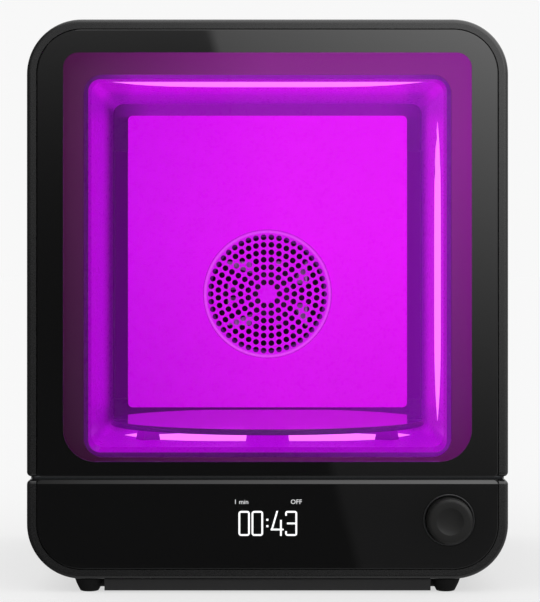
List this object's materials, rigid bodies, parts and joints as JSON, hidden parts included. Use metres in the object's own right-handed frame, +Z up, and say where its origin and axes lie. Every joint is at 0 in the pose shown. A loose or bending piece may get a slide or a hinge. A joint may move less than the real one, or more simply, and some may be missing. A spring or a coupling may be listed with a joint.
{
  "type": "uv curing lamp",
  "caption": "Countertop UV curing box: side-hinged glass door, lit chamber with glass turntable and rear fan grille, digit display and push-turn knob.",
  "frame": {"origin": "on the standing surface, under the middle of the overall box", "axes": "+Z up, -Y out of the door, +X to the right as seen from the front"},
  "size_m": [0.32, 0.352, 0.381],
  "materials": {
    "black_satin": "satin moulded, fine grain",
    "door_glass": "clear, polished",
    "black_glass": "black printed, polished",
    "black_rubber": "matt",
    "dark_casing": "fine textured powder coat",
    "dark_plastic": "moulded",
    "chamber_liner": "white, glossy",
    "reflector": "bright, diffuse reflecting",
    "diffuser": "frosted light window",
    "steel": "brushed",
    "aluminium": "brushed",
    "circuit_board": "solder mask",
    "grey_plastic": "moulded",
    "knob_black": "satin gloss",
    "turntable_glass": "clear, polished",
    "display_grey": "moulded"
  },
  "bodies": {
    "cabinet": {"back_reflector": "reflector", "base_housing": "dark_casing", "bottom_pan": "dark_plastic", "chamber_back_wall": "chamber_liner", "chamber_ceiling": "chamber_liner", "chamber_floor": "chamber_liner", "chamber_left_wall": "chamber_liner", "chamber_right_wall": "chamber_liner", "circulation_fan_housing": "dark_plastic", "control_board": "circuit_board", "control_frame": "black_satin", "control_glass": "black_glass", "deck_plate": "steel", "display_module": "display_grey", "encoder_body": "grey_plastic", "exhaust_fan_housing": "dark_plastic", "exhaust_guard": "dark_plastic", "fan_grille": "reflector", "foot_front_left": "black_rubber", "foot_front_right": "black_rubber", "foot_rear_left": "black_rubber", "foot_rear_right": "black_rubber", "front_bulkhead": "dark_casing", "heater_element": "aluminium", "hinge_bracket_lower": "steel", "hinge_bracket_upper": "steel", "hinge_pin_lower": "steel", "hinge_pin_upper": "steel", "knob_well": "knob_black", "led_board_bottom": "circuit_board", "led_board_right": "circuit_board", "led_board_top": "circuit_board", "led_column_left": "diffuser", "led_column_right": "diffuser", "led_window_bottom": "diffuser", "led_window_right": "diffuser", "led_window_top": "diffuser", "main_board": "circuit_board", "power_inlet": "dark_plastic", "power_supply": "aluminium", "power_switch_housing": "dark_plastic", "rear_cover": "dark_casing", "rear_screw_left": "steel", "rear_screw_right": "steel", "turntable_motor": "steel", "upper_cover": "dark_casing"},
    "door": {"door_frame": "black_satin", "door_gasket": "black_rubber", "door_glass": "door_glass", "door_inner_pane": "door_glass", "door_liner": "dark_plastic", "door_magnet": "steel", "door_mask": "black_glass"},
    "turntable": {"turntable_carrier": "grey_plastic"},
    "table_glass": {"turntable_glass": "turntable_glass"},
    "circulation_rotor": {"circulation_fan_rotor": "dark_plastic"},
    "exhaust_rotor": {"exhaust_fan_rotor": "dark_plastic"},
    "knob_stem": {"encoder_plunger": "steel"},
    "knob": {"knob_cap": "knob_black"},
    "rocker": {"power_rocker": "grey_plastic"}
  },
  "joints": [
    {"name": "door_hinge", "type": "hinge", "parent": "cabinet", "child": "door", "pos_m": [-0.155, -0.145, 0.22], "axis": [0, 0, -1], "range_deg": [0, 100]},
    {"name": "turntable_spin", "type": "hinge", "parent": "cabinet", "child": "turntable", "pos_m": [0, -0.02, 0.1], "axis": [0, 0, 1], "continuous": true},
    {"name": "turntable_lift", "type": "slide", "parent": "turntable", "child": "table_glass", "axis": [0, 0, 1], "range_m": [0, 0.03]},
    {"name": "circulation_fan_spin", "type": "hinge", "parent": "cabinet", "child": "circulation_rotor", "pos_m": [0, 0.11, 0.1948], "axis": [0, 1, 0], "continuous": true},
    {"name": "exhaust_fan_spin", "type": "hinge", "parent": "cabinet", "child": "exhaust_rotor", "pos_m": [-0.09, 0.163, 0.3], "axis": [0, 1, 0], "continuous": true},
    {"name": "knob_push", "type": "slide", "parent": "cabinet", "child": "knob_stem", "axis": [0, 1, 0], "range_m": [0, 0.0015], "stiffness_N_per_m": 500, "springref_m": -0.002},
    {"name": "knob_turn", "type": "hinge", "parent": "knob_stem", "child": "knob", "pos_m": [0.1205, -0.165, 0.0484], "axis": [0, 1, 0], "continuous": true},
    {"name": "power_rocker_tip", "type": "hinge", "parent": "cabinet", "child": "rocker", "pos_m": [0.075, 0.1705, 0.045], "axis": [1, 0, 0], "range_deg": [0, 20]}
  ]
}
